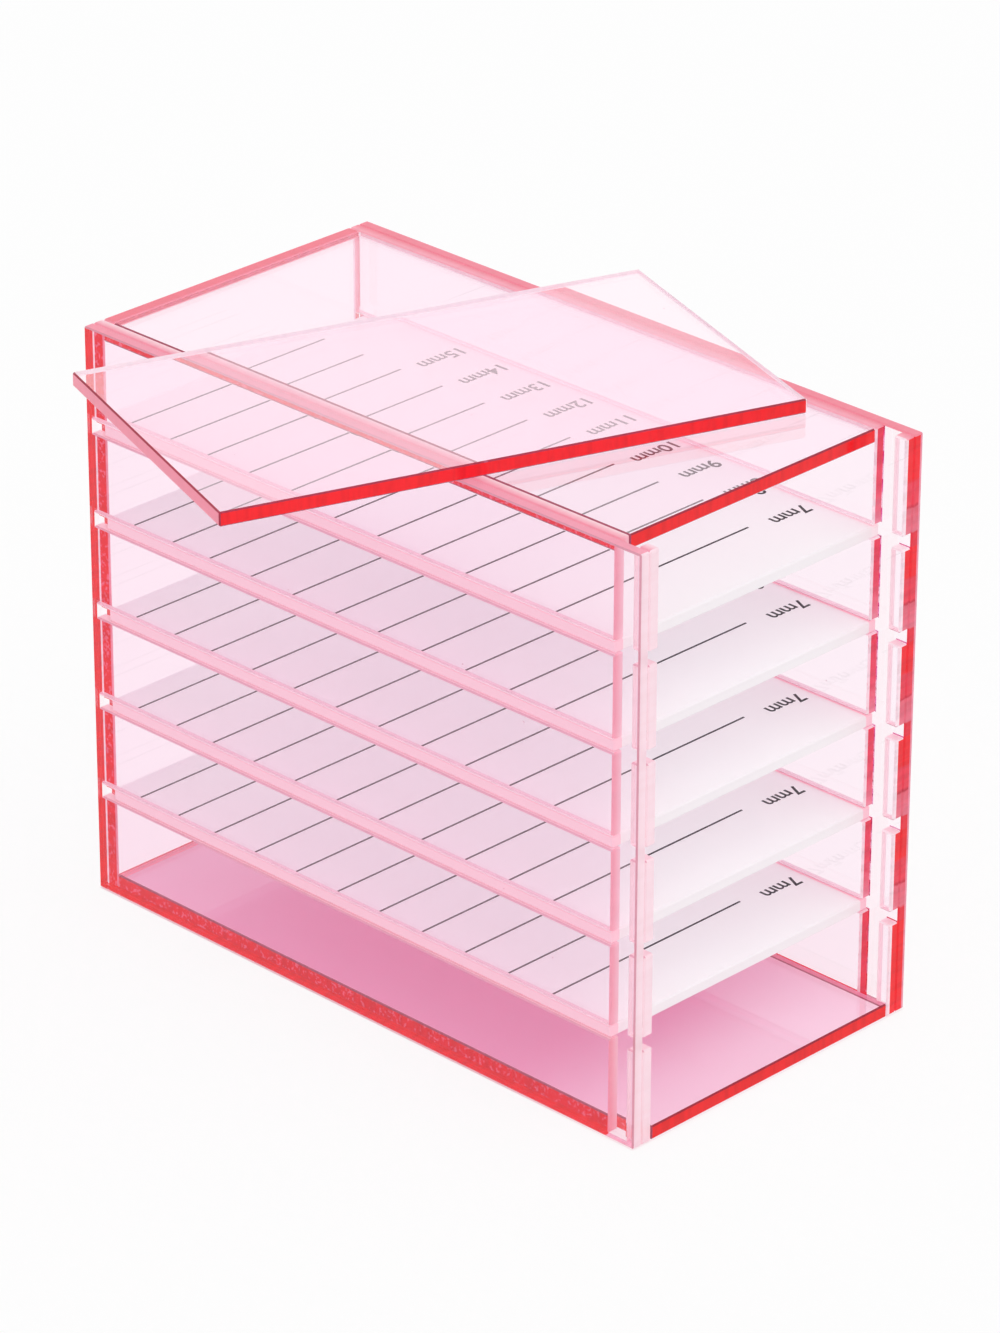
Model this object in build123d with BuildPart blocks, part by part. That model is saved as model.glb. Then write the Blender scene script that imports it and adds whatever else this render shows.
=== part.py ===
from build123d import *
import os

os.makedirs("parts", exist_ok=True)

# Driving dimensions, in millimetres. The box lies along X: its closed rear end is at -X and its
# open front end at +X. The origin is the centre of its footprint, on the surface it stands on.
box_length = 150.0
box_width = 77.5
bay_height = 17.35  # clear height of each compartment
tile_count = 5
panel_thickness = 2.5  # full-height outer side panels
strip_thickness = 2.5  # strips and posts laminated inside the side panels
base_thickness = 3.0
top_thickness = 3.0
rear_thickness = 3.0
tile_thickness = 2.5
cover_thickness = 3.0
post_width = 3.0  # along X, at the open end
edge_break = 0.3  # small chamfer on every cut edge

# Clearances
glue_line = 0.05  # cement film between bonded faces
tile_play = 0.15  # above and below a tile in its slot
tile_side_play = 0.5  # each side of a tile
tile_end_play = 0.3  # between a tile and the rear panel
tile_setback = 0.2  # from the front ends of the strips back to a tile's front edge
cover_side_play = 0.65  # each side of the cover in its grooves
groove_play = 1.5  # spare width of the grooves, front to back
cover_rest_gap = 0.05  # film of air under the cover where it lies on the box

# The removable front cover lies flat on top of the box, turned and a little off centre
cover_centre_x = -0.4
cover_centre_y = -15.2
cover_turn = 70.1  # degrees, from +X to the cover's long side

# Levels. Between two compartments a slot holds a tile, and the slots cut the inner layer of the
# side walls into separate strips and posts.
slot_height = tile_thickness + 2 * tile_play
level_pitch = bay_height + slot_height
strip_count = tile_count + 1
box_height = base_thickness + strip_count * bay_height + tile_count * slot_height + top_thickness

# Plan
rear_face = -box_length / 2
front_face = box_length / 2
post_face = front_face - post_width
groove_width = cover_thickness + groove_play
strip_end = post_face - groove_width
wall_thickness = panel_thickness + glue_line + strip_thickness
channel_width = box_width - 2 * panel_thickness
inner_width = box_width - 2 * wall_thickness
plate_width = inner_width - 2 * glue_line
plate_start = rear_face + rear_thickness + glue_line

# The cover fills the doorway when it stands in its grooves on the base plate
cover_width = channel_width - 2 * cover_side_play
cover_height = box_height - base_thickness

# Tiles
tile_width = channel_width - 2 * tile_side_play
tile_start = rear_face + rear_thickness + tile_end_play
tile_end = strip_end - tile_setback


def layer_bottom(level):
    """Underside of a strip or post, counted from 0 at the bottom."""
    return 0 if level == 0 else base_thickness + level * level_pitch


def layer_top(level):
    """Top of a strip or post: a slot starts there, or the rim for the last one."""
    return box_height if level == tile_count else base_thickness + level * level_pitch + bay_height


def plan(start_x, end_x, middle_y, width_y):
    """A rectangle in the current sketch from start_x to end_x, centred on middle_y."""
    with Locations(((start_x + end_x) / 2, middle_y)):
        Rectangle(end_x - start_x, width_y)


# Base plate, between the side walls, from the rear panel to the open end
with BuildPart() as base_plate:
    with BuildSketch(Plane.XY):
        plan(plate_start, front_face, 0, plate_width)
    extrude(amount=base_thickness)
    chamfer(base_plate.edges(), edge_break)
base_plate.part.label = "base_plate"
export_step(base_plate.part, "parts/base_plate.step")

# Top plate, between the side walls, ending at the cover grooves
with BuildPart() as top_plate:
    with BuildSketch(Plane.XY.offset(box_height - top_thickness)):
        plan(plate_start, strip_end, 0, plate_width)
    extrude(amount=top_thickness)
    chamfer(top_plate.edges(), edge_break)
top_plate.part.label = "top_plate"
export_step(top_plate.part, "parts/top_plate.step")

# Rear panel, full height between the side walls
with BuildPart() as rear_panel:
    with BuildSketch(Plane.XY):
        plan(rear_face, rear_face + rear_thickness, 0, plate_width)
    extrude(amount=box_height)
    chamfer(rear_panel.edges(), edge_break)
rear_panel.part.label = "rear_panel"
export_step(rear_panel.part, "parts/rear_panel.step")

# Side walls: an outer panel, and inside it the strips that carry the tiles and, past the cover
# groove, the posts. Left and right are seen from in front of the open end.
for side_name, side in (("left", -1), ("right", 1)):
    panel_middle = side * (box_width - panel_thickness) / 2
    layer_middle = side * (inner_width + strip_thickness) / 2

    with BuildPart() as side_panel:
        with BuildSketch(Plane.XY):
            plan(rear_face, front_face, panel_middle, panel_thickness)
        extrude(amount=box_height)
        chamfer(side_panel.edges(), edge_break)
    side_panel.part.label = f"{side_name}_panel"
    export_step(side_panel.part, f"parts/{side_name}_panel.step")

    for level in range(strip_count):
        layer_height = layer_top(level) - layer_bottom(level)

        with BuildPart() as strip:
            with BuildSketch(Plane.XY.offset(layer_bottom(level))):
                plan(rear_face, strip_end, layer_middle, strip_thickness)
            extrude(amount=layer_height)
            chamfer(strip.edges(), edge_break)
        strip.part.label = f"{side_name}_strip_{level + 1}"
        export_step(strip.part, f"parts/{side_name}_strip_{level + 1}.step")

        with BuildPart() as post:
            with BuildSketch(Plane.XY.offset(layer_bottom(level))):
                plan(post_face, front_face, layer_middle, strip_thickness)
            extrude(amount=layer_height)
            chamfer(post.edges(), edge_break)
        post.part.label = f"{side_name}_post_{level + 1}"
        export_step(post.part, f"parts/{side_name}_post_{level + 1}.step")

# Lash tiles, one in each slot, counted from the bottom. They slide out at the open end.
for level in range(tile_count):
    with BuildPart() as tile:
        with BuildSketch(Plane.XY.offset(layer_top(level) + tile_play)):
            plan(tile_start, tile_end, 0, tile_width)
        extrude(amount=tile_thickness)
        chamfer(tile.edges(), edge_break)
    tile.part.label = f"tile_{level + 1}"
    export_step(tile.part, f"parts/tile_{level + 1}.step")

# Front cover, lifted out of its grooves and laid on the box
cover_plane = Plane(origin=(cover_centre_x, cover_centre_y, box_height + cover_rest_gap)).rotated(
    (0, 0, cover_turn)
)
with BuildPart() as front_cover:
    with BuildSketch(cover_plane):
        Rectangle(cover_height, cover_width)
    extrude(amount=cover_thickness)
    chamfer(front_cover.edges(), edge_break)
front_cover.part.label = "front_cover"
export_step(front_cover.part, "parts/front_cover.step")

print(f"box {box_length} x {box_width} x {box_height:.2f} mm")
print(f"tile {tile_end - tile_start:.1f} x {tile_width:.1f} x {tile_thickness} mm")
print(f"cover {cover_height:.2f} x {cover_width:.2f} x {cover_thickness} mm")
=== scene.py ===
import math

import bmesh
import bpy
from mathutils import Matrix, Vector

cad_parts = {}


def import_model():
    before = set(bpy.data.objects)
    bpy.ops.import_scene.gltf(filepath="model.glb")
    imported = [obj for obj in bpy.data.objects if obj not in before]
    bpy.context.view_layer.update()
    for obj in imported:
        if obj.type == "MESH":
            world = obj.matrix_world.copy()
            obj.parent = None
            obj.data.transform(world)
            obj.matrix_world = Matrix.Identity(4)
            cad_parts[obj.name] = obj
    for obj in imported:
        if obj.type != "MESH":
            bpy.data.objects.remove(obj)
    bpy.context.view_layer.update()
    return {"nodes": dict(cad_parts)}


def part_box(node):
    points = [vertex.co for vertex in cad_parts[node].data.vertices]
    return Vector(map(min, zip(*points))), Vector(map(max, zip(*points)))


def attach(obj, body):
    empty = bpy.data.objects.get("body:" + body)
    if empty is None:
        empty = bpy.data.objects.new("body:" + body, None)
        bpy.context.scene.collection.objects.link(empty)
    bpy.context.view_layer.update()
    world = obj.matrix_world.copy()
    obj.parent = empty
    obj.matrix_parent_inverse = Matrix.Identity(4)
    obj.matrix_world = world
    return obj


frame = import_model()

MM = 0.001
FORE = Vector((1, 0, 0))
SIDE = Vector((0, 1, 0))
UP = Vector((0, 0, 1))
COVER_TURN = math.radians(70.1)
COVER_LONG = Vector((math.cos(COVER_TURN), math.sin(COVER_TURN), 0))
COVER_SHORT = UP.cross(COVER_LONG)

# Further along any direction than the object reaches
FAR = 1.0

# The box's own places, in metres, read from the frame
base_low, base_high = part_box("base_plate")
top_low, top_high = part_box("top_plate")
rear_low, rear_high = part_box("rear_panel")
panel_low, panel_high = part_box("right_panel")
strip_low, strip_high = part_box("right_strip_1")
next_low, next_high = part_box("right_strip_2")
post_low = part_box("right_post_1")[0]
cover_low, cover_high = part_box("front_cover")
cover_middle = (cover_low + cover_high) / 2
SLOT_START = strip_high.z
LEVEL_PITCH = next_high.z - strip_high.z
SLOT_HEIGHT = next_low.z - strip_high.z
SLOT_COUNT = sum(name.startswith("tile") for name in frame["nodes"])
TOP_SLOT = SLOT_START + (SLOT_COUNT - 1) * LEVEL_PITCH

# Cemented joints: the middle of each film, and how far its mask reaches
OUTER_BOND = (panel_low.y + strip_high.y) / 2
INNER_BOND = (base_high.y + strip_low.y) / 2
REAR_BOND = (rear_high.x + base_low.x) / 2
BOND_REACH = 0.06 * MM

# A face is square to a direction over the first value, and leans that way over the second
SQUARE = 0.9
LEANING = 0.5

# Layers of detail in a noise, and the value that it varies about
FEW_LAYERS = 2.0
SOME_LAYERS = 3.0
MANY_LAYERS = 4.0
NOISE_MIDDLE = 0.5

# Camera
CAMERA_PLACE = Vector((774.8, -786.6, 603.0)) * MM
CAMERA_FORWARD = Vector((-0.6297, 0.6404, -0.4397))
CAMERA_RIGHT = Vector((0.7122, 0.7020, 0.0025))
SENSOR_SIZE = 36.0
LENS = 169.2

# Studio
FLOOR_SIZE = 6.0
FLOOR_DROP = 0.2 * MM
FLOOR_COLOUR = (0.94, 0.94, 0.94, 1)
WHITE = (1, 1, 1, 1)
AROUND_STRENGTH = 0.83
LAMP_DIRECTION = Vector((0.44, -0.12, 0.9)).normalized()
LAMP_RIM = 0.8
LAMP_CORE = 0.95
LAMP_STRENGTH = 0.68
FLOOR_SHADOW = 0.15
SHADOW_THROUGH = 0.5
# Painted light on the floor beneath the box's open front: how much, and where along the box it
# starts
FRONT_PAINTED_LIGHT = 0.55
PAINTED_LIGHT_START = 35 * MM

# How often light may turn or pass on its way, enough to cross every sheet of the box
SHEET_BOUNCES = 48
MATT_BOUNCES = 12
STRAIGHT_PASSES = 64

# Acrylic
ACRYLIC_IOR = 1.49
ACRYLIC_DENSITY = 18.0
ACRYLIC_PASSES = (0.82, 0.0, 0.56, 1)
SOLID_SPECULAR = 0.25
PANE_TINT = (1.0, 1.0, 1.0, 1)
# A painted pink shadow: the floor's pink shade seen through the base plate
BASE_PINK_SHADOW = (1.0, 0.86, 0.93, 1)
PANE_GLOW = (1.0, 0.05, 0.25, 1)
PANE_GLOW_STRENGTH = 0.015
COVER_TINT = (0.93, 0.87, 0.885, 1)
# The cover's haze, painted as a faint glow
COVER_GLOW = (1.0, 0.86, 0.88, 1)
COVER_GLOW_STRENGTH = 0.06
SMUDGE_SCALE = 30.0
SMUDGE_RANGE = (0.5, 0.75)
SMUDGE_ROUGHNESS = 0.015
SPECK_SCALE = 90.0
SPECK_SIZE = 0.015
SPECK_TINT = (0.78, 0.45, 0.55, 1)

# Its cut edges, where the light carried inside the sheets comes out, painted with that light: red
# where it shows strongly, paler on frosted faces that spread white light around, and pale where
# little of it shows
POLISHED_EDGE_LIGHT = (0.88, 0.006, 0.008, 1)
POLISHED_ROUGHNESS = 0.1
FROSTED_ROUGHNESS = 0.45
EDGE_SOLID = 0.8
EDGE_GLOW = 0.1
EDGE_PASSES = (1.0, 0.72, 0.76, 1)
SIDE_BOND_SOLID = 0.9
REAR_BOND_SOLID = 0.6
FAR_BOND_SOLID = 0.15
SLOT_LIT_FROST = (0.95, 0.70, 0.77, 1)
SLOT_PALE = (0.98, 0.88, 0.92, 1)
LEFT_LIT_FROST = (0.88, 0.34, 0.44, 1)
LEFT_INNER = (0.93, 0.60, 0.69, 1)
LEFT_PALE = (0.95, 0.75, 0.81, 1)
RIGHT_LIT_FROST = (0.88, 0.25, 0.32, 1)
RIGHT_INNER = (0.92, 0.42, 0.50, 1)
RIGHT_PALE = (0.97, 0.86, 0.90, 1)
REAR_LIT_FROST = (0.88, 0.21, 0.27, 1)
TOP_LIT_FROST = (0.95, 0.60, 0.68, 1)
FOOT_LIT_FROST = (0.94, 0.55, 0.68, 1)
FOOT_REACH = 1.0 * MM
BASE_LIT_FROST = (0.90, 0.36, 0.47, 1)
COVER_LIT_FROST = (0.88, 0.29, 0.37, 1)
COVER_PALE = (0.98, 0.90, 0.93, 1)

# The small chamfers along the cut edges show as lines, painted as shade where they look dark and as
# highlights where they look pale, for the way they bend the light
LINE_REACH = 0.35 * MM
LINE_TINT = (0.32, 0.02, 0.04, 1)
SIDE_LINE_TINT = (0.36, 0.08, 0.13, 1)
REAR_LINE_TINT = (0.90, 0.34, 0.42, 1)
WALL_LINE_TINT = (0.67, 0.31, 0.39, 1)
POST_LINE_TINT = (0.95, 0.82, 0.87, 1)
SLOT_LINE_TINT = (0.78, 0.42, 0.52, 1)
INNER_LINE_TINT = (0.60, 0.26, 0.34, 1)
FAR_LINE_TINT = (0.97, 0.85, 0.90, 1)
CREVICE_TINT = (1.0, 0.86, 0.9, 1)

# Saw marks run across the sheet, so their noise is drawn out that way
ACROSS_STRETCH = 0.85
STREAK_SCALE = 700.0
STREAK_RANGE = (0.3, 0.62)
STREAK_DEPTH = 0.14
FROSTED_STREAK_DEPTH = 0.04
RIDGE_SCALE = 2600.0
RIDGE_STRENGTH = 0.35
RIDGE_HEIGHT = 0.03 * MM

# Bubbles in the cement
BUBBLE_SCALE = 1300.0
BUBBLE_RANGE = (0.55, 0.62)
BUBBLE_TINT = (0.94, 0.18, 0.25, 1)

# The right wall's front ends show painted reflections of the tiles: colours up one level, from its
# slot
POST_MARGIN = 0.8 * MM
STRIP_MARGIN = 0.5 * MM
END_WAVER = 0.05
POST_REFLECTIONS = (
    (0.00, (0.80, 0.030, 0.050, 1)),
    (0.14, (0.80, 0.030, 0.050, 1)),
    (0.16, (0.80, 0.190, 0.250, 1)),
    (0.40, (0.80, 0.130, 0.180, 1)),
    (0.42, (0.58, 0.020, 0.045, 1)),
    (0.45, (0.83, 0.050, 0.080, 1)),
    (0.67, (0.83, 0.050, 0.080, 1)),
    (0.70, (0.90, 0.018, 0.024, 1)),
)
STRIP_REFLECTIONS = (
    (0.14, (0.88, 0.280, 0.380, 1)),
    (0.45, (0.83, 0.080, 0.140, 1)),
    (1.00, (0.82, 0.045, 0.090, 1)),
)
END_INNER = (0.96, 0.78, 0.84, 1)
END_OUTER = (0.86, 0.32, 0.41, 1)

# Tiles
TILE_COLOUR = (0.95, 0.94, 0.955, 1)
TILE_SHADE = (0.945, 0.934, 0.95, 1)
# Painted shade: the tiles' cut edges a little darker than their faces
TILE_EDGE = (0.91, 0.865, 0.895, 1)
TILE_GLOW = (1.0, 0.93, 0.96, 1)
TILE_GLOW_STRENGTH = 0.06
TILE_ROUGHNESS = 0.3
TILE_SHADE_ROUGHER = 0.04
TILE_EDGE_ROUGHER = 0.2
TILE_MOTTLE_SCALE = 30.0
TILE_MOTTLE_RANGE = (0.2, 0.8)
TILE_GRAIN_SCALE = 2200.0
TILE_GRAIN_HEIGHT = 0.01 * MM
TILE_FACE_GRAIN = 0.12
TILE_EDGE_GRAIN = 0.5
SLOT_GLOW = (1.0, 0.62, 0.72, 1)
SLOT_FAINT = (0.98, 0.87, 0.91, 1)

# Print on the tiles
INK_COLOUR = (0.012, 0.006, 0.012, 1)
INK_THIN = (0.045, 0.03, 0.042, 1)
INK_SCALE = 900.0
INK_THIN_RANGE = (0.45, 0.7)
INK_ROUGHNESS = 0.4
INK_THIN_ROUGHER = 0.2
INK_THICKNESS = 0.02 * MM
RULE_WIDTH = 0.47 * MM
RULE_PITCH = 11.75 * MM
FIRST_RULE = 16.5 * MM
FIRST_LENGTH = 7
LAST_LENGTH = 15
LABELS = [f"{length}mm" for length in range(FIRST_LENGTH, LAST_LENGTH + 1)]
LAST_PITCHES = (10.6 * MM, 11.2 * MM)
RULE_START = 2.0 * MM
RULE_END = 52.6 * MM
LABEL_PLACE = 62.6 * MM
LABEL_SHIFT = 1.6 * MM
LABEL_SIZE = 4.75 * MM
LABEL_WEIGHT = 0.075 * MM


def add(tree, kind, inputs=(), **settings):
    """Adds a node, sets its settings, and links or sets its inputs."""
    node = tree.nodes.new(kind)
    for name, value in settings.items():
        setattr(node, name, value)
    for key, value in dict(inputs).items():
        if isinstance(value, bpy.types.NodeSocket):
            tree.links.new(value, node.inputs[key])
        else:
            node.inputs[key].default_value = value
    return node


def maths(tree, operation, *values):
    """Adds a Math node and returns what it gives."""
    node = add(tree, "ShaderNodeMath", dict(enumerate(values)), operation=operation)
    return node.outputs[0]


def over(tree, value, bound):
    return maths(tree, "GREATER_THAN", value, bound)


def under(tree, value, bound):
    return maths(tree, "LESS_THAN", value, bound)


def near(tree, value, middle, reach):
    return maths(tree, "COMPARE", value, middle, reach)


def both(tree, first, *others):
    """One where every mask is one."""
    for other in others:
        first = maths(tree, "MULTIPLY", first, other)
    return first


def either(tree, first, *others):
    """One where any mask is one."""
    for other in others:
        first = maths(tree, "MAXIMUM", first, other)
    return first


def opposite(tree, mask):
    return maths(tree, "SUBTRACT", 1.0, mask)


def blend(tree, mask, first, second):
    """The first value where the mask is nought and the second where it is one."""
    return maths(tree, "MULTIPLY_ADD", mask, second - first, first)


def blend_colour(tree, mask, first, second):
    """The first colour where the mask is nought and the second where it is one."""
    node = add(tree, "ShaderNodeMix", {0: mask, 6: first, 7: second}, data_type="RGBA")
    return node.outputs[2]


def spread(tree, value, low, high, start=0.0, end=1.0):
    """Takes a value between low and high to one between start and end."""
    node = add(tree, "ShaderNodeMapRange", {
        "Value": value, "From Min": low, "From Max": high, "To Min": start, "To Max": end,
    }, interpolation_type="SMOOTHSTEP")
    return node.outputs[0]


def noise(tree, place, scale, layers=FEW_LAYERS):
    return add(tree, "ShaderNodeTexNoise", {
        "Vector": place, "Scale": scale, "Detail": layers,
    }).outputs[0]


def ramp(tree, value, bands):
    """The colour of a list of (start, colour) bands at a value."""
    node = add(tree, "ShaderNodeValToRGB", {0: value})
    elements = node.color_ramp.elements
    elements[0].position, elements[0].color = bands[0]
    elements[1].position, elements[1].color = bands[-1]
    for start, colour in bands[1:-1]:
        elements.new(start).color = colour
    return node.outputs[0]


def along(tree, vector, direction):
    """How far a vector goes along a direction."""
    node = add(tree, "ShaderNodeVectorMath", {0: vector, 1: direction}, operation="DOT_PRODUCT")
    return node.outputs["Value"]


def leaning(tree, facing, direction):
    """How far a face leans along a direction, either way: from nought to one when square to it."""
    return maths(tree, "ABSOLUTE", along(tree, facing, direction))


def new_material(name):
    """An empty material, its node tree and its output."""
    material = bpy.data.materials.new(name)
    material.use_nodes = True
    tree = material.node_tree
    tree.nodes.clear()
    return material, tree, add(tree, "ShaderNodeOutputMaterial")


def surface_place(tree):
    """Where a point of the surface is, as a vector and as x, y and z."""
    place = add(tree, "ShaderNodeTexCoord").outputs["Object"]
    return place, add(tree, "ShaderNodeSeparateXYZ", {0: place}).outputs


def level_place(tree, z):
    """Height above the start of the slot below, within one level."""
    return maths(tree, "FLOORED_MODULO", maths(tree, "SUBTRACT", z, SLOT_START), LEVEL_PITCH)


class Sheet:
    """Where a point of an acrylic sheet's surface is, and masks for the kind of face it is on. The
    sheet's cut faces face along the two edge directions."""

    def __init__(self, tree, edges):
        self.place, (self.x, self.y, self.z) = surface_place(tree)
        self.side = maths(tree, "ABSOLUTE", self.y)
        self.far_side = over(tree, self.y, 0.0)
        self.facing = add(tree, "ShaderNodeNewGeometry").outputs["True Normal"]

        thin = edges[0].cross(edges[1])
        self.cut = under(tree, leaning(tree, self.facing, thin), SQUARE)
        off_square = [under(tree, leaning(tree, self.facing, edge), SQUARE) for edge in edges]
        self.chamfer = both(tree, self.cut, *off_square)
        stretch = Vector(1 - ACROSS_STRETCH * abs(part) for part in thin)
        drawn = add(tree, "ShaderNodeVectorMath", {0: self.place, 1: stretch}, operation="MULTIPLY")
        self.drawn_place = drawn.outputs[0]

        self.side_joint = both(tree, self.cut, near(tree, self.side, INNER_BOND, BOND_REACH))
        self.rear_joint = both(tree, self.cut, near(tree, self.x, REAR_BOND, BOND_REACH))
        self.at_rear = under(tree, self.x, rear_high.x + LINE_REACH)
        self.joint_line = both(tree, self.chamfer, near(tree, self.side, INNER_BOND, LINE_REACH))


def faces_along(tree, sheet, direction, start, stop):
    """One on the faces that lean along a direction, between two places along it."""
    reached = along(tree, sheet.place, direction)
    return both(
        tree, over(tree, leaning(tree, sheet.facing, direction), LEANING),
        over(tree, reached, start), under(tree, reached, stop),
    )


def bond_mask(tree, sheet):
    """One on the faces where two sheets of the case are cemented, which light crosses straight."""
    x, side, z = sheet.x, sheet.side, sheet.z
    faces_side = over(tree, leaning(tree, sheet.facing, SIDE), SQUARE)
    faces_end = over(tree, leaning(tree, sheet.facing, FORE), SQUARE)
    in_slot = both(
        tree,
        under(tree, level_place(tree, z), SLOT_HEIGHT),
        over(tree, z, SLOT_START),
        under(tree, z, TOP_SLOT + LEVEL_PITCH / 2),
    )
    in_groove = both(tree, over(tree, x, strip_high.x), under(tree, x, post_low.x))
    solid = both(tree, faces_side, opposite(tree, in_slot), opposite(tree, in_groove))
    at_base = under(tree, z, base_high.z)
    at_top = over(tree, z, top_low.z)
    at_rear = under(tree, x, rear_high.x)
    at_top_plate = both(tree, at_top, under(tree, x, top_high.x))
    outer = both(tree, solid, near(tree, side, OUTER_BOND, BOND_REACH))
    inner = both(
        tree, solid, near(tree, side, INNER_BOND, BOND_REACH),
        either(tree, at_base, at_top_plate, at_rear),
    )
    rear = both(
        tree, faces_end, near(tree, x, REAR_BOND, BOND_REACH), either(tree, at_base, at_top),
    )
    below_cover = under(tree, z, top_high.z + BOND_REACH / 2)
    return both(tree, either(tree, outer, inner, rear), below_cover)


def bond_share(tree, sheet):
    """How much light crosses a cemented face straight: all of it, or less at the joints that
    show as glowing lines."""
    far_joint = both(tree, sheet.side_joint, sheet.at_rear, sheet.far_side)
    near_joint = both(tree, sheet.side_joint, opposite(tree, far_joint))
    return both(
        tree, bond_mask(tree, sheet),
        blend(tree, near_joint, 1.0, 1 - SIDE_BOND_SOLID),
        blend(tree, far_joint, 1.0, 1 - FAR_BOND_SOLID),
        blend(tree, sheet.rear_joint, 1.0, 1 - REAR_BOND_SOLID),
    )


def end_reflections(tree, sheet):
    """The right wall's front ends, painted with reflections of the tiles banded level by level
    between paler margins. Below the first slot they are plain."""
    waver = maths(tree, "SUBTRACT", noise(tree, sheet.place, STREAK_SCALE), NOISE_MIDDLE)
    rim = SLOT_START + SLOT_COUNT * LEVEL_PITCH - BOND_REACH
    height = level_place(tree, maths(tree, "MINIMUM", sheet.z, rim))
    level = maths(tree, "DIVIDE", height, LEVEL_PITCH)
    level = maths(tree, "MULTIPLY_ADD", waver, END_WAVER, level)
    level = either(tree, level, under(tree, sheet.z, SLOT_START - LINE_REACH))
    on_strip = under(tree, sheet.x, post_low.x)
    colour = blend_colour(
        tree, on_strip, ramp(tree, level, POST_REFLECTIONS), ramp(tree, level, STRIP_REFLECTIONS),
    )
    margin = blend(tree, on_strip, POST_MARGIN, STRIP_MARGIN)
    inner = under(tree, maths(tree, "SUBTRACT", sheet.side, strip_low.y), margin)
    outer = over(tree, sheet.side, panel_high.y - POST_MARGIN)
    colour = blend_colour(tree, inner, colour, END_INNER)
    return blend_colour(tree, outer, colour, END_OUTER)


def wall_lines(tree, sheet):
    """The lines along a side wall's chamfers, and its foot past the strips, as (mask, colour)."""
    level = level_place(tree, sheet.z)
    slot_faces = faces_along(tree, sheet, UP, SLOT_START - LINE_REACH, top_low.z)
    at_slot = both(tree, sheet.chamfer, slot_faces)
    in_wall = both(tree, at_slot, near(tree, sheet.side, OUTER_BOND, LINE_REACH))
    slot_head = under(tree, level, SLOT_HEIGHT + LINE_REACH)
    slot_foot = over(tree, level, LEVEL_PITCH - LINE_REACH)
    foot = both(tree, sheet.cut, faces_along(tree, sheet, UP, -FOOT_REACH, FOOT_REACH))
    rim = over(tree, sheet.side, panel_high.y - LINE_REACH)
    inner = both(
        tree, at_slot, sheet.joint_line, slot_head, sheet.far_side,
        under(tree, sheet.z, TOP_SLOT),
    )
    return (
        (both(tree, foot, over(tree, sheet.x, strip_high.x)), FOOT_LIT_FROST),
        (both(tree, sheet.chamfer, rim), WALL_LINE_TINT),
        (both(tree, sheet.joint_line, over(tree, sheet.x, post_low.x)), POST_LINE_TINT),
        (both(tree, in_wall, slot_head), CREVICE_TINT),
        (both(tree, in_wall, slot_foot), SLOT_LINE_TINT),
        (inner, INNER_LINE_TINT),
    )


def plate_lines(tree, sheet):
    """The lines along the chamfers of a sheet that isn't a side wall, as (mask, colour)."""
    far_end = either(tree, sheet.at_rear, over(tree, sheet.z, top_low.z - LINE_REACH))
    return (
        (sheet.chamfer, LINE_TINT),
        (sheet.joint_line, SIDE_LINE_TINT),
        (both(tree, sheet.chamfer, sheet.at_rear), REAR_LINE_TINT),
        (both(tree, sheet.joint_line, sheet.far_side, far_end), FAR_LINE_TINT),
    )


def edge_light_and_marks(tree, sheet, frosted, pale, lines, banded):
    """The colour of a sheet's cut faces, painted with the light the sheet carries out there and
    marked with bubbles and saw streaks, and a mask of those that are sawn, not polished.
    """
    # Painted light: the red that polished cut faces show where the sheet's light comes out
    colour = POLISHED_EDGE_LIGHT
    # Painted reflections of the tiles on the right wall's front ends
    if banded:
        faces_end = over(tree, leaning(tree, sheet.facing, FORE), LEANING)
        fore_end = both(tree, faces_end, over(tree, sheet.x, 0.0))
        colour = blend_colour(tree, fore_end, colour, end_reflections(tree, sheet))
    froth = noise(tree, sheet.place, BUBBLE_SCALE, SOME_LAYERS)
    bubbles = both(tree, sheet.side_joint, spread(tree, froth, *BUBBLE_RANGE))
    colour = blend_colour(tree, bubbles, colour, BUBBLE_TINT)

    sawn = 0.0
    outward = spread(tree, sheet.side, INNER_BOND, OUTER_BOND)
    # Frosted faces, painted with paler light
    for direction, start, stop, outer, inner in frosted:
        here = both(tree, sheet.cut, faces_along(tree, sheet, direction, start, stop))
        sawn = either(tree, sawn, here)
        colour = blend_colour(tree, here, colour, blend_colour(tree, outward, inner, outer))
    for here, line_colour in lines(tree, sheet):
        colour = blend_colour(tree, here, colour, line_colour)
    # Pale faces, painted where little of the edge light shows
    for direction, start, stop in pale:
        here = both(tree, sheet.cut, faces_along(tree, sheet, direction, start, stop))
        sawn = either(tree, sawn, here)
        colour = blend_colour(tree, here, colour, COVER_PALE)
    crevice = both(tree, sheet.joint_line, under(tree, sheet.x, rear_low.x + LINE_REACH))
    colour = blend_colour(tree, crevice, colour, CREVICE_TINT)

    streaks = noise(tree, sheet.drawn_place, STREAK_SCALE, MANY_LAYERS)
    marks = spread(tree, streaks, *STREAK_RANGE, 1.0, 0.0)
    depth = blend(tree, sawn, STREAK_DEPTH, FROSTED_STREAK_DEPTH)
    shade = opposite(tree, maths(tree, "MULTIPLY", marks, depth))
    marked = add(tree, "ShaderNodeVectorMath", {0: colour, "Scale": shade}, operation="SCALE")
    return marked.outputs[0], sawn


def sheet_roughness(tree, sheet, sawn):
    """Faintly smudged on the main faces, finely rough where cut, and dull where sawn."""
    touched = noise(tree, sheet.place, SMUDGE_SCALE, SOME_LAYERS)
    smudge = spread(tree, touched, *SMUDGE_RANGE, 0.0, SMUDGE_ROUGHNESS)
    rough = maths(tree, "MULTIPLY", smudge, opposite(tree, sheet.cut))
    rough = maths(tree, "MULTIPLY_ADD", sheet.cut, POLISHED_ROUGHNESS, rough)
    return maths(tree, "MULTIPLY_ADD", sawn, FROSTED_ROUGHNESS - POLISHED_ROUGHNESS, rough)


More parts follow.
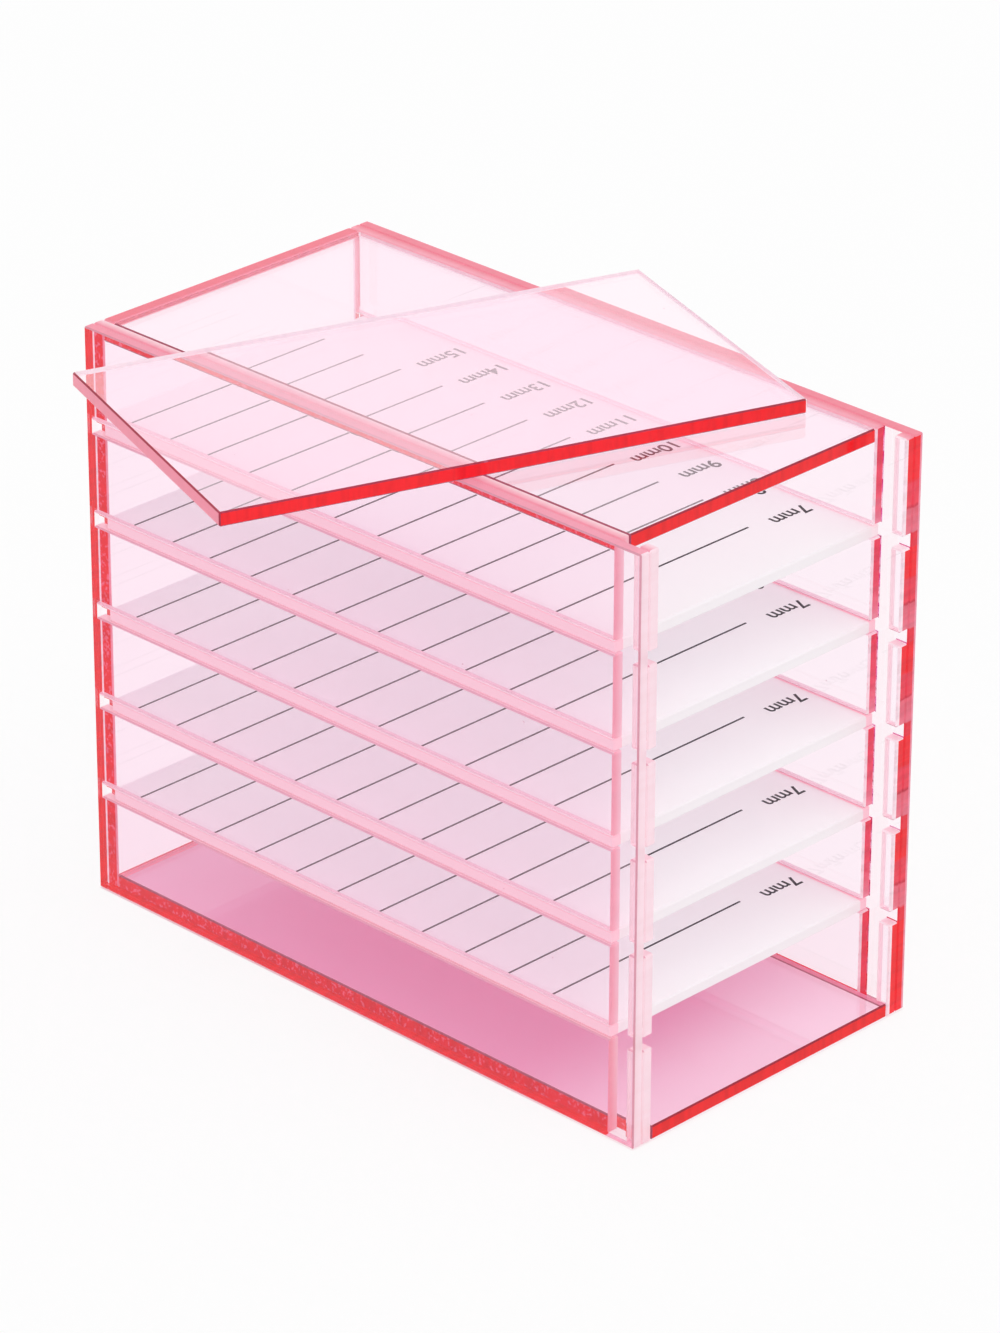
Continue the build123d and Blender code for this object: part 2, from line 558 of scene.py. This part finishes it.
def acrylic(name, edges, frosted=(), pale=(), lines=plate_lines, banded=False, pane=PANE_TINT,
            passes=PANE_TINT, sheet_glow=PANE_GLOW, sheet_glow_strength=PANE_GLOW_STRENGTH):
    """Clear fluorescent pink sheet. Its cut faces face along the two edge directions. They are
    polished and painted red with the light the sheet carries out there, or frosted and painted
    with paler light where a (direction, start, stop, outer colour, inner colour) row says so, or
    painted pale with no line along them where a (direction, start, stop) row does."""
    material, tree, output = new_material(name)
    sheet = Sheet(tree, edges)
    cut = sheet.cut
    edge, sawn = edge_light_and_marks(tree, sheet, frosted, pale, lines, banded)
    dust = add(tree, "ShaderNodeTexVoronoi", {"Vector": sheet.place, "Scale": SPECK_SCALE})
    speck = both(tree, opposite(tree, cut), under(tree, dust.outputs["Distance"], SPECK_SIZE))
    face = blend_colour(tree, speck, pane, SPECK_TINT)
    solid = maths(tree, "MULTIPLY", either(tree, cut, speck), EDGE_SOLID)
    bump = add(tree, "ShaderNodeBump", {
        "Strength": maths(tree, "MULTIPLY", cut, RIDGE_STRENGTH),
        "Distance": RIDGE_HEIGHT,
        "Height": noise(tree, sheet.drawn_place, RIDGE_SCALE),
    })
    glass = add(tree, "ShaderNodeBsdfPrincipled", {
        "Base Color": blend_colour(tree, cut, face, edge),
        "Roughness": sheet_roughness(tree, sheet, sawn),
        "IOR": ACRYLIC_IOR,
        "Specular IOR Level": SOLID_SPECULAR,
        "Transmission Weight": opposite(tree, solid),
        "Emission Color": blend_colour(tree, cut, sheet_glow, edge),
        "Emission Strength": blend(tree, cut, sheet_glow_strength, EDGE_GLOW),
        "Normal": bump.outputs[0],
    })
    clear = add(tree, "ShaderNodeBsdfTransparent", {
        "Color": blend_colour(tree, cut, passes, EDGE_PASSES),
    })
    rays = add(tree, "ShaderNodeLightPath").outputs
    straight = either(
        tree, bond_share(tree, sheet), rays["Is Shadow Ray"], rays["Is Diffuse Ray"],
    )
    mix = add(tree, "ShaderNodeMixShader", {
        0: straight, 1: glass.outputs[0], 2: clear.outputs[0],
    })
    inside = add(tree, "ShaderNodeVolumeAbsorption", {
        "Color": ACRYLIC_PASSES, "Density": ACRYLIC_DENSITY,
    })
    tree.links.new(mix.outputs[0], output.inputs["Surface"])
    tree.links.new(inside.outputs[0], output.inputs["Volume"])
    material.cycles.emission_sampling = "NONE"
    return material


def opal(name):
    """White tile sheet: faintly uneven, rougher on its sawn edges and painted darker there as
    shade, and pink while inside the walls, which light it."""
    material, tree, output = new_material(name)
    place, (_, y, z) = surface_place(tree)
    geometry = add(tree, "ShaderNodeNewGeometry").outputs
    now_x = add(tree, "ShaderNodeSeparateXYZ", {0: geometry["Position"]}).outputs["X"]
    in_wall = both(
        tree, over(tree, maths(tree, "ABSOLUTE", y), strip_low.y),
        under(tree, now_x, strip_high.x),
    )
    cut = under(tree, leaning(tree, geometry["True Normal"], UP), SQUARE)
    mottle = spread(tree, noise(tree, place, TILE_MOTTLE_SCALE), *TILE_MOTTLE_RANGE)
    colour = blend_colour(tree, mottle, TILE_COLOUR, TILE_SHADE)
    # Painted shade on the cut edges
    colour = blend_colour(tree, cut, colour, TILE_EDGE)
    far_top = both(tree, over(tree, z, TOP_SLOT), over(tree, y, 0.0))
    glow = blend_colour(tree, far_top, SLOT_GLOW, SLOT_FAINT)
    colour = blend_colour(tree, in_wall, colour, glow)
    rough = maths(tree, "MULTIPLY_ADD", mottle, TILE_SHADE_ROUGHER, TILE_ROUGHNESS)
    rough = maths(tree, "MULTIPLY_ADD", cut, TILE_EDGE_ROUGHER, rough)
    bump = add(tree, "ShaderNodeBump", {
        "Strength": blend(tree, cut, TILE_FACE_GRAIN, TILE_EDGE_GRAIN),
        "Distance": TILE_GRAIN_HEIGHT,
        "Height": noise(tree, place, TILE_GRAIN_SCALE, SOME_LAYERS),
    })
    shader = add(tree, "ShaderNodeBsdfPrincipled", {
        "Base Color": colour,
        "Roughness": rough,
        "Emission Color": TILE_GLOW,
        "Emission Strength": TILE_GLOW_STRENGTH,
        "Normal": bump.outputs[0],
    })
    tree.links.new(shader.outputs[0], output.inputs["Surface"])
    material.cycles.emission_sampling = "NONE"
    return material


def ink(name):
    """Black print, a little thin in places."""
    material, tree, output = new_material(name)
    place = surface_place(tree)[0]
    thin = spread(tree, noise(tree, place, INK_SCALE, SOME_LAYERS), *INK_THIN_RANGE)
    shader = add(tree, "ShaderNodeBsdfPrincipled", {
        "Base Color": blend_colour(tree, thin, INK_COLOUR, INK_THIN),
        "Roughness": maths(tree, "MULTIPLY_ADD", thin, INK_THIN_ROUGHER, INK_ROUGHNESS),
    })
    tree.links.new(shader.outputs[0], output.inputs["Surface"])
    return material


def label_mesh(words):
    """A label's letters as a thin solid, its middle at the origin."""
    text = bpy.data.curves.new("label", "FONT")
    text.body = words
    text.size = LABEL_SIZE
    text.offset = LABEL_WEIGHT
    text.extrude = INK_THICKNESS / 2
    text.align_x = "CENTER"
    text.align_y = "CENTER"
    holder = bpy.data.objects.new("label", text)
    bpy.context.scene.collection.objects.link(holder)
    depsgraph = bpy.context.evaluated_depsgraph_get()
    mesh = bpy.data.meshes.new_from_object(holder.evaluated_get(depsgraph))
    bpy.data.objects.remove(holder)
    return mesh


def tile_print(tile, material):
    """The rules and numbers printed on a tile, as one piece that slides with it."""
    low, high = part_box(tile)
    top = high.z + INK_THICKNESS / 2
    shape = bmesh.new()
    places = [high.x - FIRST_RULE - step * RULE_PITCH for step in range(len(LABELS))]
    for words, place in zip(LABELS, places):
        middle = Vector((place + LABEL_SHIFT, low.y + LABEL_PLACE, top))
        letters = label_mesh(words)
        letters.transform(Matrix.Translation(middle) @ Matrix.Rotation(-math.pi / 2, 4, "Z"))
        shape.from_mesh(letters)
        bpy.data.meshes.remove(letters)
    for pitch in LAST_PITCHES:
        places.append(places[-1] - pitch)
    for place in places:
        start = low.y + RULE_START
        end = low.y + RULE_END
        middle = Vector((place, (start + end) / 2, top))
        size = Matrix.Diagonal((RULE_WIDTH, end - start, INK_THICKNESS, 1))
        bmesh.ops.create_cube(shape, size=1, matrix=Matrix.Translation(middle) @ size)
    mesh = bpy.data.meshes.new(tile + "_print")
    shape.to_mesh(mesh)
    shape.free()
    mesh.materials.append(material)
    piece = bpy.data.objects.new(tile + "_print", mesh)
    bpy.context.scene.collection.objects.link(piece)
    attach(piece, tile)


def camera():
    """The photograph's viewpoint."""
    data = bpy.data.cameras.new("camera")
    data.sensor_width = SENSOR_SIZE
    data.lens = LENS
    made = bpy.data.objects.new("camera", data)
    forward = CAMERA_FORWARD.normalized()
    up = CAMERA_RIGHT.cross(forward).normalized()
    right = forward.cross(up)
    turn = Matrix((right, up, -forward)).transposed().to_4x4()
    made.matrix_world = Matrix.Translation(CAMERA_PLACE) @ turn
    bpy.context.scene.collection.objects.link(made)
    bpy.context.scene.camera = made


def world():
    """Even white light from all round, with a soft light above the open end for matt surfaces."""
    made = bpy.data.worlds.new("studio")
    made.use_nodes = True
    tree = made.node_tree
    facing = add(tree, "ShaderNodeTexCoord").outputs["Generated"]
    towards = along(tree, facing, LAMP_DIRECTION)
    lamp = spread(tree, towards, LAMP_RIM, LAMP_CORE, 0.0, LAMP_STRENGTH)
    matt = add(tree, "ShaderNodeLightPath").outputs["Is Diffuse Ray"]
    lit = maths(tree, "ADD", lamp, AROUND_STRENGTH)
    strength = add(tree, "ShaderNodeMix", {0: matt, 2: 1.0, 3: lit}).outputs[0]
    background = tree.nodes["Background"]
    background.inputs["Color"].default_value = WHITE
    tree.links.new(strength, background.inputs["Strength"])
    made.cycles.sampling_method = "NONE"
    bpy.context.scene.world = made


def floor():
    """Plain white floor, which keeps the object's soft shadow, with light painted on it beneath the
    box's open front.
    """
    bpy.ops.mesh.primitive_plane_add(size=FLOOR_SIZE, location=(0, 0, -FLOOR_DROP))
    plane = bpy.context.object
    plane.name = "floor"
    material, tree, output = new_material("floor_white")
    plane.data.materials.append(material)
    shade = add(tree, "ShaderNodeBsdfDiffuse", {"Color": FLOOR_COLOUR})
    white = add(tree, "ShaderNodeEmission", {"Color": WHITE, "Strength": 1.0})
    x, y, _ = surface_place(tree)[1]
    beneath = both(
        tree,
        under(tree, maths(tree, "ABSOLUTE", x), panel_high.x),
        under(tree, maths(tree, "ABSOLUTE", y), panel_high.y),
    )
    rays = add(tree, "ShaderNodeLightPath").outputs
    share = either(
        tree,
        maths(tree, "MULTIPLY", rays["Is Camera Ray"], 1 - FLOOR_SHADOW),
        maths(tree, "MULTIPLY", rays["Is Glossy Ray"], 1 - FLOOR_SHADOW),
        maths(tree, "MULTIPLY", rays["Is Transmission Ray"], 1 - SHADOW_THROUGH),
    )
    # Painted light: beneath the box the floor grows whiter towards its open front
    painted_light = spread(tree, x, PAINTED_LIGHT_START, panel_high.x, 1.0, 1 - FRONT_PAINTED_LIGHT)
    share = both(tree, share, opposite(tree, both(tree, beneath, painted_light)))
    mix = add(tree, "ShaderNodeMixShader", {
        0: share, 1: shade.outputs[0], 2: white.outputs[0],
    })
    tree.links.new(mix.outputs[0], output.inputs["Surface"])


def light_paths():
    """Lets light cross as many sheets as the box has."""
    cycles = bpy.context.scene.cycles
    cycles.max_bounces = SHEET_BOUNCES
    cycles.transmission_bounces = SHEET_BOUNCES
    cycles.glossy_bounces = SHEET_BOUNCES
    cycles.diffuse_bounces = MATT_BOUNCES
    cycles.transparent_max_bounces = STRAIGHT_PASSES


def side_walls():
    """The two side walls' materials. A wall's rows say how its slots, rims and ends are frosted,
    and the light painted on them.
    """
    slots = (UP, FOOT_REACH, top_low.z, SLOT_LIT_FROST, SLOT_LIT_FROST)
    post_start = post_low.x - LINE_REACH
    left_rows = (
        slots,
        (UP, top_low.z, FAR, LEFT_LIT_FROST, LEFT_PALE),
        (FORE, 0.0, FAR, LEFT_LIT_FROST, LEFT_INNER),
        (FORE, post_start, FAR, LEFT_PALE, LEFT_PALE),
    )
    right_rows = (
        slots,
        (UP, TOP_SLOT - LINE_REACH, top_low.z, SLOT_PALE, SLOT_PALE),
        (UP, top_low.z, FAR, RIGHT_LIT_FROST, RIGHT_INNER),
        (FORE, -FAR, 0.0, RIGHT_LIT_FROST, RIGHT_PALE),
        (FORE, post_start, post_low.x + LINE_REACH, RIGHT_PALE, RIGHT_PALE),
    )
    left = acrylic("acrylic_left_wall", (FORE, UP), left_rows, lines=wall_lines)
    right = acrylic("acrylic_right_wall", (FORE, UP), right_rows, lines=wall_lines, banded=True)
    return left, right


def base():
    """The base plate's material, pinker than the others: a painted pink shadow, for the floor's
    pink shade seen through it.
    """
    rows = (
        (FORE, -FAR, 0.0, FOOT_LIT_FROST, FOOT_LIT_FROST),
        (SIDE, 0.0, FAR, BASE_LIT_FROST, BASE_LIT_FROST),
    )
    return acrylic("acrylic_base", (FORE, SIDE), rows, pane=BASE_PINK_SHADOW, passes=BASE_PINK_SHADOW)


def top():
    """The top plate's material."""
    rows = (
        (FORE, -FAR, 0.0, REAR_LIT_FROST, REAR_LIT_FROST),
        (SIDE, 0.0, FAR, TOP_LIT_FROST, TOP_LIT_FROST),
    )
    return acrylic("acrylic_top", (FORE, SIDE), rows)


def rear():
    """The rear panel's material."""
    rows = ((UP, FOOT_REACH, FAR, REAR_LIT_FROST, REAR_LIT_FROST),)
    return acrylic("acrylic_rear", (SIDE, UP), rows)


def cover():
    """The loose front cover's material: hazy, its haze a faint painted glow, with two of its four
    edges painted pale.
    """
    rows = ((COVER_LONG, -FAR, FAR, COVER_LIT_FROST, COVER_LIT_FROST),)
    pale = (
        (COVER_LONG, cover_middle.dot(COVER_LONG), FAR),
        (COVER_SHORT, cover_middle.dot(COVER_SHORT), FAR),
    )
    return acrylic(
        "acrylic_cover", (COVER_LONG, COVER_SHORT), rows, pale, pane=COVER_TINT,
        sheet_glow=COVER_GLOW, sheet_glow_strength=COVER_GLOW_STRENGTH,
    )


camera()
world()
floor()
light_paths()
bpy.context.scene.view_settings.view_transform = "Standard"

# A node's finish goes by the first word of its name
left_wall, right_wall = side_walls()
finishes = {
    "left": left_wall,
    "right": right_wall,
    "base": base(),
    "top": top(),
    "rear": rear(),
    "front": cover(),
    "tile": opal("opal_tile"),
}
for name, node in frame["nodes"].items():
    for slot in node.material_slots:
        slot.material = finishes[name.split("_")[0]]
black = ink("black_ink")
for name in frame["nodes"]:
    if name.startswith("tile"):
        tile_print(name, black)
